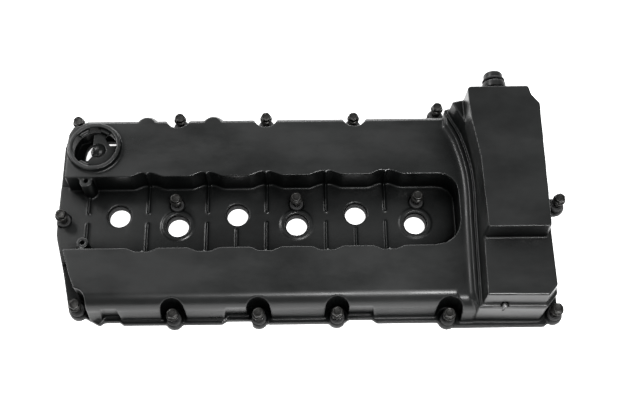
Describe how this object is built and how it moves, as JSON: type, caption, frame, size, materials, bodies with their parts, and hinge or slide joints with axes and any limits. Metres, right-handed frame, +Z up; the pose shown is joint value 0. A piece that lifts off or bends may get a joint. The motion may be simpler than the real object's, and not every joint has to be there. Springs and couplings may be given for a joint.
{
  "type": "cylinder head cover",
  "caption": "Moulded cover for a narrow-angle engine's cylinder head, with coil valley, oil filler, welded oil separator box and captive bolts.",
  "frame": {"origin": "middle of the underside of the bounding box, on the plane of the gasket crests and bolt tips", "axes": "+X along the row of coil wells towards the separator box, +Y across towards the hose connector, +Z up out of the engine"},
  "size_m": [0.5616, 0.2642, 0.1],
  "materials": {
    "cover_plastic": "satin black glass-filled nylon",
    "separator_plastic": "satin black glass-filled nylon",
    "inner_plastic": "matt",
    "seal_rubber": "matt",
    "bush_rubber": "matt",
    "bolt_steel": "dark zinc flake",
    "zinc_steel": "dark",
    "spring_steel": "bright"
  },
  "bodies": {
    "root": {"cover_shell": "cover_plastic", "separator_cover": "separator_plastic", "separator_tray": "inner_plastic", "labyrinth_baffle": "inner_plastic", "separator_screw": "zinc_steel", "filler_splash_guard": "separator_plastic", "perimeter_gasket": "seal_rubber", "plug_well_gasket": "seal_rubber", "breather_nozzle": "separator_plastic", "nozzle_o_ring": "seal_rubber", "regulator_body": "inner_plastic", "regulator_cap": "inner_plastic", "regulator_spring": "spring_steel", "bush_rear_1": "bush_rubber", "bush_rear_2": "bush_rubber", "bush_rear_3": "bush_rubber", "bush_rear_4": "bush_rubber", "bush_rear_5": "bush_rubber", "bush_rear_6": "bush_rubber", "bush_front_1": "bush_rubber", "bush_front_2": "bush_rubber", "bush_front_3": "bush_rubber", "bush_front_4": "bush_rubber", "bush_front_5": "bush_rubber", "bush_front_6": "bush_rubber", "bush_left": "bush_rubber", "bush_right": "bush_rubber", "bush_valley_1": "bush_rubber", "bush_valley_2": "bush_rubber", "bush_valley_3": "bush_rubber"},
    "diaphragm": {"regulator_diaphragm": "seal_rubber", "diaphragm_plate": "inner_plastic"},
    "captive_bolt_rear_1": {"bolt_rear_1": "bolt_steel"},
    "captive_bolt_rear_2": {"bolt_rear_2": "bolt_steel"},
    "captive_bolt_rear_3": {"bolt_rear_3": "bolt_steel"},
    "captive_bolt_rear_4": {"bolt_rear_4": "bolt_steel"},
    "captive_bolt_rear_5": {"bolt_rear_5": "bolt_steel"},
    "captive_bolt_rear_6": {"bolt_rear_6": "bolt_steel"},
    "captive_bolt_front_1": {"bolt_front_1": "bolt_steel"},
    "captive_bolt_front_2": {"bolt_front_2": "bolt_steel"},
    "captive_bolt_front_3": {"bolt_front_3": "bolt_steel"},
    "captive_bolt_front_4": {"bolt_front_4": "bolt_steel"},
    "captive_bolt_front_5": {"bolt_front_5": "bolt_steel"},
    "captive_bolt_front_6": {"bolt_front_6": "bolt_steel"},
    "captive_bolt_left": {"bolt_left": "bolt_steel"},
    "captive_bolt_right": {"bolt_right": "bolt_steel"},
    "captive_bolt_valley_1": {"bolt_valley_1": "bolt_steel"},
    "captive_bolt_valley_2": {"bolt_valley_2": "bolt_steel"},
    "captive_bolt_valley_3": {"bolt_valley_3": "bolt_steel"}
  },
  "joints": [
    {"name": "diaphragm_stroke", "type": "slide", "parent": "root", "child": "diaphragm", "axis": [0, 0, 1], "range_m": [-0.004, 0], "deforming": ["regulator_spring"]},
    {"name": "bolt_slide_rear_1", "type": "slide", "parent": "root", "child": "captive_bolt_rear_1", "axis": [0, 0, 1], "range_m": [-0.0112, 0]},
    {"name": "bolt_slide_rear_2", "type": "slide", "parent": "root", "child": "captive_bolt_rear_2", "axis": [0, 0, 1], "range_m": [-0.0112, 0]},
    {"name": "bolt_slide_rear_3", "type": "slide", "parent": "root", "child": "captive_bolt_rear_3", "axis": [0, 0, 1], "range_m": [-0.0112, 0]},
    {"name": "bolt_slide_rear_4", "type": "slide", "parent": "root", "child": "captive_bolt_rear_4", "axis": [0, 0, 1], "range_m": [-0.0112, 0]},
    {"name": "bolt_slide_rear_5", "type": "slide", "parent": "root", "child": "captive_bolt_rear_5", "axis": [0, 0, 1], "range_m": [-0.0112, 0]},
    {"name": "bolt_slide_rear_6", "type": "slide", "parent": "root", "child": "captive_bolt_rear_6", "axis": [0, 0, 1], "range_m": [-0.0112, 0]},
    {"name": "bolt_slide_front_1", "type": "slide", "parent": "root", "child": "captive_bolt_front_1", "axis": [0, 0, 1], "range_m": [-0.0112, 0]},
    {"name": "bolt_slide_front_2", "type": "slide", "parent": "root", "child": "captive_bolt_front_2", "axis": [0, 0, 1], "range_m": [-0.0112, 0]},
    {"name": "bolt_slide_front_3", "type": "slide", "parent": "root", "child": "captive_bolt_front_3", "axis": [0, 0, 1], "range_m": [-0.0112, 0]},
    {"name": "bolt_slide_front_4", "type": "slide", "parent": "root", "child": "captive_bolt_front_4", "axis": [0, 0, 1], "range_m": [-0.0112, 0]},
    {"name": "bolt_slide_front_5", "type": "slide", "parent": "root", "child": "captive_bolt_front_5", "axis": [0, 0, 1], "range_m": [-0.0112, 0]},
    {"name": "bolt_slide_front_6", "type": "slide", "parent": "root", "child": "captive_bolt_front_6", "axis": [0, 0, 1], "range_m": [-0.0112, 0]},
    {"name": "bolt_slide_left", "type": "slide", "parent": "root", "child": "captive_bolt_left", "axis": [0, 0, 1], "range_m": [-0.0112, 0]},
    {"name": "bolt_slide_right", "type": "slide", "parent": "root", "child": "captive_bolt_right", "axis": [0, 0, 1], "range_m": [-0.0112, 0]},
    {"name": "bolt_slide_valley_1", "type": "slide", "parent": "root", "child": "captive_bolt_valley_1", "axis": [0, 0, 1], "range_m": [-0.0112, 0]},
    {"name": "bolt_slide_valley_2", "type": "slide", "parent": "root", "child": "captive_bolt_valley_2", "axis": [0, 0, 1], "range_m": [-0.0112, 0]},
    {"name": "bolt_slide_valley_3", "type": "slide", "parent": "root", "child": "captive_bolt_valley_3", "axis": [0, 0, 1], "range_m": [-0.0112, 0]}
  ]
}
